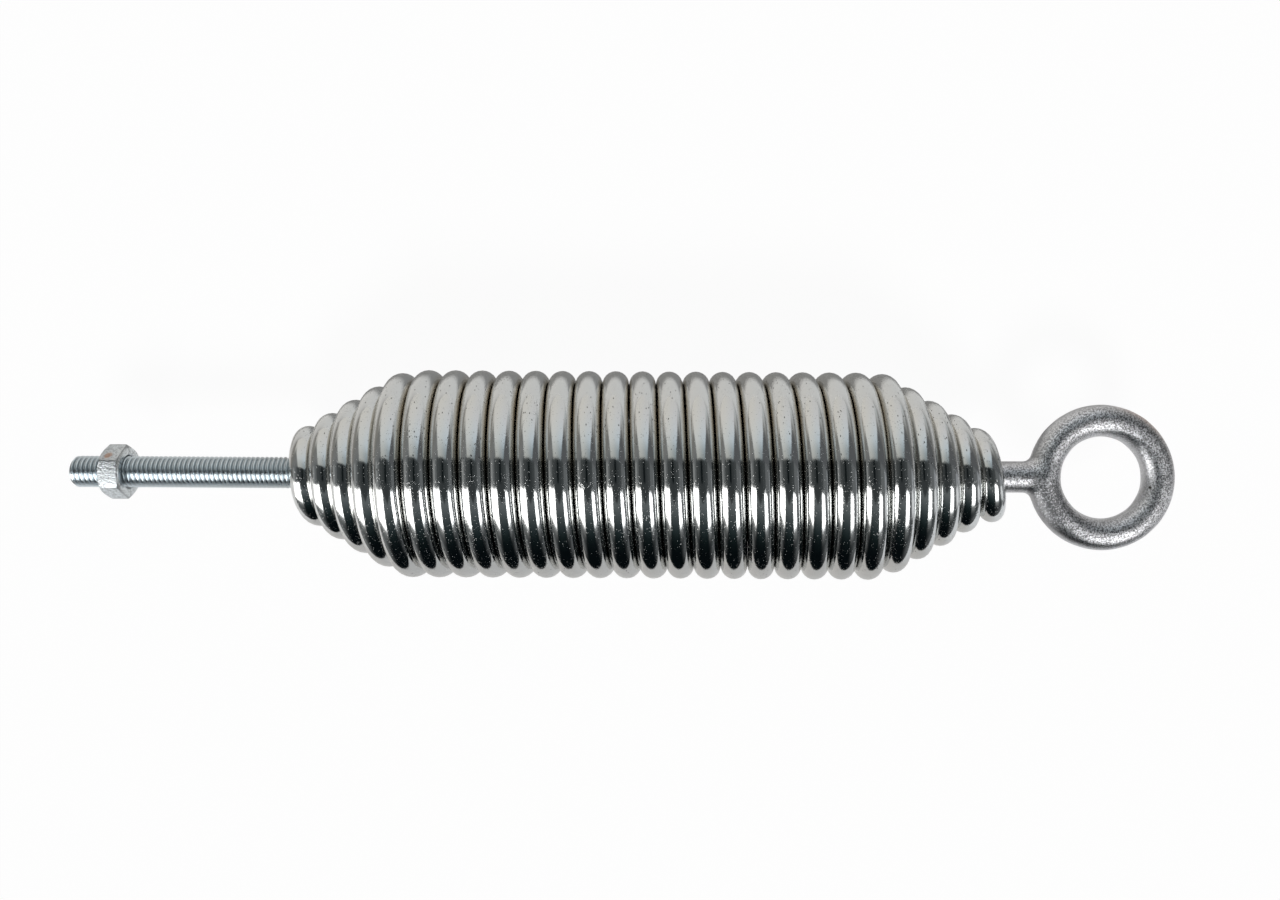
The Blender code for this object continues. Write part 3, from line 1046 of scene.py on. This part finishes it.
def forged_zinc(colours, form):
    """Zinc over a scaled forging: a coarse glittering grain, finer on the ring's sides, with
    one patch of black scale. Painted highlight: in a band round the ring's crest, set off it
    to where the light falls, the pale grains lose most of their metal and shine white."""
    m = Metal("forged_zinc")
    spots = m.spots()
    x, y, z = m.split(spots)
    across = x - form.centre
    out = (across * across + y * y) ** 0.5
    section = form.sizes.section
    rim = out.above(form.ring_radius + section * 0.36, section * 0.12)
    crest = abs(z - AXIS_HEIGHT).above(section * 0.30, section * 0.22)
    cloud = m.noise(spots, 190.0, 3.0)
    salt = m.noise(spots, 2100.0, 2.0, 0.6)
    scale = m.near(spots, *EYE_SCALE, 0.5)
    pepper = (m.noise(spots, 1500.0, 2.0, 0.6) + 0.09 * scale).above(0.52, 0.04)
    pit = m.near(spots, *EYE_PIT, 0.3)
    blush = m.near(spots, *EYE_BLUSH, 0.6)
    grit = 0.16 + 0.84 * crest
    # Painted highlight: a band round the ring, shifted off the crest to where the light falls, in which pale
    # grains turn mostly non-metallic and shine white.
    slant = (across * 0.22 - y * 0.16) / out
    highlight_band = 1 - abs((out - form.ring_radius) * (2 / section) - slant).above(0.24, 0.14)
    grains = salt.above(0.50, 0.05)
    painted_glint = grains * highlight_band * across.above(-form.ring_radius - 0.001, 0.004)
    colour = m.mix(cloud * 0.5, colours.eye, darker(colours.eye, 0.80))
    colour = m.mix(grains * grit * 0.85, colour, colours.eye_grain)
    colour = m.mix(pepper * grit * 0.85, colour, darker(colours.eye, 0.22))
    colour = m.mix(blush * rim * 0.35, colour, colours.rust)
    colour = m.mix(pit, colour, colours.pit)
    m.feed(m.shader.inputs["Metallic"], 1 - 0.68 * painted_glint)
    normal = m.bump(salt, 0.00013)
    return m.finish(colour, 0.25 + 0.07 * cloud + 0.05 * crest + 0.20 * scale, normal)


def lit_surface(name):
    """An empty material tree with its output node."""
    material = bpy.data.materials.new(name)
    material.use_nodes = True
    nodes = Nodes(material.node_tree)
    nodes.tree.nodes.clear()
    return material, nodes, nodes.tree.nodes.new("ShaderNodeOutputMaterial")


def sheet_white(settings):
    """White to the eye, with a share of true shading for shadows. Metal sees more of the
    shading, sees painted shade on the sheet, darker in front of the spring's middle and behind
    it towards the sides, and sees none of it past its lit front edge."""
    material, n, output = lit_surface("sheet_white")
    path = n.add("ShaderNodeLightPath", None, (), "Is Camera Ray")
    mirrored = (path.also("Is Glossy Ray") + path.also("Is Transmission Ray")).at_most(1.0)
    x, y, _ = n.split(n.add("ShaderNodeTexCoord", None, (), "Object"))
    # Painted shade seen only by metal: the sheet darker in front of the spring's middle and behind it
    # towards the sides.
    behind = n.mix(abs(x).above(0.29, 0.15), *SHEET_BEHIND)
    before = n.mix(abs(x).above(0.155, 0.03), *SHEET_BEFORE)
    tone = n.mix(mirrored, SHEET_WHITE, n.mix(y.above(0.0, 0.04), before, behind))
    shaded = n.add("ShaderNodeBsdfDiffuse", None, {"Color": tone})
    plain = n.add("ShaderNodeEmission", None, {"Color": (*WHITE, 1.0), "Strength": 1.0})
    share = (path * 0.95).at_least(mirrored * 0.05)
    sheet = n.add("ShaderNodeMixShader", None, (share, shaded, plain))
    clear = n.add("ShaderNodeBsdfTransparent")
    ended = mirrored * (1 - y.above(settings.lit_front, 0.002))
    n.feed(output.inputs["Surface"], n.add("ShaderNodeMixShader", None, (ended, sheet, clear)))
    return material


def room_walls():
    """The room that the metal reflects: a pale wall behind, windows and a dark front.

    A place in it is given by its lean to the right and its tilt to the back, in degrees from
    straight up."""
    material, n, output = lit_surface("room_walls")
    x, y, z = n.split(n.add("ShaderNodeTexCoord", None, (), "Object"))
    length = (x * x + y * y + z * z) ** 0.5
    lean = x.math("ARCSINE", x / length) * (180 / math.pi)
    tilt = y.math("ARCTAN2", y, z) * (180 / math.pi)
    away = abs(lean)

    back = tilt.above(WALL_START, 1.0)
    rightward = lean.above(0.0, 5.0)
    widening = ((tilt - WALL_START) * 0.38).at_least(0.0).at_most(13.0)
    edge = away + 7.5 * rightward - 31 - widening
    wall = n.ramp(tilt, WALL_TONES)
    wall = n.mix(lean.above(4.0, 30.0), n.mix(0.5, wall, WARM_WALL), wall)
    side = n.mix(rightward, n.ramp(tilt, LEFT_SIDE_TONES), n.ramp(tilt, RIGHT_SIDE_TONES))
    corner = (away + 0.42 * (tilt - 50)).above(62.0, 4.0) * tilt.above(58.0, 8.0)
    side = n.mix(corner * 0.7, side, DARK_CORNER)
    rear = n.mix(edge.above(0.0, 3.0), wall, side)

    over = n.mix(away.above(22.0, 5.0), *CEILING)
    left = n.mix(lean.between(-72.0, -57.0, SOFT_EDGE), *CEILING_LEFT)
    left = n.mix(lean.above(-73.0, SOFT_EDGE), CEILING_LEFT_END, left)
    over = n.mix(1 - lean.above(-42.0, SOFT_EDGE), over, left)
    for start, tone in CEILING_RIGHT:
        over = n.mix(lean.above(start, SOFT_EDGE), over, tone)
    over = n.mix(lean.between(-8.0, 5.0, 3.0) * tilt.above(-7.0, 2.0), over, CEILING_CORE)

    sill = tilt + 0.30 * (away - 30).at_least(0.0) + 0.5 * (33 - away).at_least(0.0)
    gap = n.ramp(tilt, FRONT_TONES)
    far = n.mix(0.4 * rightward, n.ramp(tilt, FAR_TONES), BLACK)
    front = n.mix(away.above(36.0, 14.0), gap, far)

    foot = tilt + 0.40 * (away - 40).at_least(0.0) + 1.5 * (away - 56).at_least(0.0)
    dusk = DUSK_SHARE * foot.above(*DUSK_FOOT)
    left = lean.between(*LEFT_WINDOW, SOFT_EDGE)
    left = left * ((1 - DUSK_SHARE) * foot.above(*LEFT_FOOT) + dusk)
    right = lean.between(*RIGHT_WINDOW, SOFT_EDGE) * (1 - sill.above(*RIGHT_TOP))
    right = right * ((1 - DUSK_SHARE) * foot.above(*RIGHT_FOOT) + dusk)
    outer = OUTER_SHARE * away.between(*OUTER_WINDOWS, SOFT_EDGE) * foot.above(*OUTER_FOOT)
    bright = (left + right + outer).at_most(1.0) * (1 - sill.above(*WINDOW_TOP))

    colour = n.mix(sill.above(*CEILING_FRONT), front, over)
    colour = n.mix(back, colour, rear)
    colour = n.mix(bright, colour, WHITE)
    strength = 1.0 + WINDOW_GLOW * bright * bright
    glow = n.add("ShaderNodeEmission", None, {"Color": colour, "Strength": strength})
    n.feed(output.inputs["Surface"], glow)
    return material


def make_sheet(settings):
    """The white sheet that the spring lies on. It stops short in front, at a table's edge."""
    side, front, back = settings.sheet_side, settings.sheet_front, settings.sheet_back
    corners = [(-side, front), (side, front), (side, back), (-side, back)]
    form = bmesh.new()
    form.faces.new([form.verts.new((x, y, 0.0)) for x, y in corners])
    sheet = finished_object("white_sheet", form)
    paint(sheet, sheet_white(settings))


def make_room(settings):
    """A dome that only reflections see."""
    form = bmesh.new()
    bmesh.ops.create_uvsphere(form, u_segments=96, v_segments=48, radius=settings.room_radius)
    room = finished_object("room", form)
    paint(room, room_walls())
    room.visible_camera = False
    room.visible_diffuse = False
    room.visible_shadow = False


def make_camera(settings):
    data = bpy.data.cameras.new("camera")
    camera = new_object("camera", data)
    data.sensor_width = SENSOR_WIDTH
    data.lens = SENSOR_WIDTH * settings.focal_pixels / PICTURE_WIDTH
    data.shift_x = (PICTURE_WIDTH / 2 - settings.centre_pixels) / PICTURE_WIDTH
    data.clip_start = 0.01
    height = AXIS_HEIGHT + settings.camera_height
    camera.location = (settings.camera_x, settings.camera_y, height)
    camera.rotation_euler = (0.0, 0.0, settings.roll)
    bpy.context.scene.camera = camera


def light_world(settings):
    """White to the eye and in reflections, and a weak fill light on the rest."""
    world = bpy.data.worlds.new("white_world")
    bpy.context.scene.world = world
    world.use_nodes = True
    n = Nodes(world.node_tree)
    back = n.tree.nodes["Background"]
    path = n.add("ShaderNodeLightPath", None, (), "Is Camera Ray")
    seen = (path + path.also("Is Glossy Ray") + path.also("Is Transmission Ray")).at_most(1.0)
    n.feed(back.inputs["Color"], (*WHITE, 1.0))
    n.feed(back.inputs["Strength"], settings.fill + (1 - settings.fill) * seen)


def make_sun(settings):
    """Soft light from the front, which lays the spring's faint shadow behind it."""
    data = bpy.data.lights.new("soft_sun", "SUN")
    data.energy = settings.sun
    data.angle = settings.sun_width
    sun = new_object("soft_sun", data)
    sun.rotation_euler = (settings.sun_tilt, 0.0, settings.sun_turn)
    sun.visible_glossy = False


class SPRING_OT_stage(bpy.types.Operator):
    """Sets the sheet, the room, the light and the camera"""

    bl_idname = "spring.stage"
    bl_label = "Stage"

    def execute(self, context):
        settings = context.scene.spring_studio
        make_sheet(settings)
        make_room(settings)
        make_camera(settings)
        make_sun(settings)
        light_world(settings)
        context.scene.view_settings.view_transform = "Standard"
        return {"FINISHED"}


OPERATORS = (SPRING_OT_wire, SPRING_OT_bolt, SPRING_OT_nut, SPRING_OT_eye, SPRING_OT_stage)


class SPRING_PT_panel(bpy.types.Panel):
    """Lists the pieces and the sizes that they are made from"""

    bl_idname = "SPRING_PT_panel"
    bl_label = "Tailgate spring"
    bl_space_type = "VIEW_3D"
    bl_region_type = "UI"
    bl_category = "Spring"

    def draw(self, context):
        for operator in OPERATORS:
            self.layout.operator(operator.bl_idname)
        for name, group in SETTINGS.items():
            box = self.layout.box()
            for label in group.__annotations__:
                box.prop(getattr(context.scene, name), label)


CLASSES = (*SETTINGS.values(), *OPERATORS, SPRING_PT_panel)


def register():
    for cls in CLASSES:
        bpy.utils.register_class(cls)
    for name, group in SETTINGS.items():
        setattr(bpy.types.Scene, name, bpy.props.PointerProperty(type=group))


def unregister():
    for name in SETTINGS:
        delattr(bpy.types.Scene, name)
    for cls in reversed(CLASSES):
        bpy.utils.unregister_class(cls)


def main():
    register()
    bpy.ops.spring.wire()
    bpy.ops.spring.bolt()
    bpy.ops.spring.nut()
    bpy.ops.spring.eye()
    bpy.ops.spring.stage()


if __name__ == "__main__":
    main()
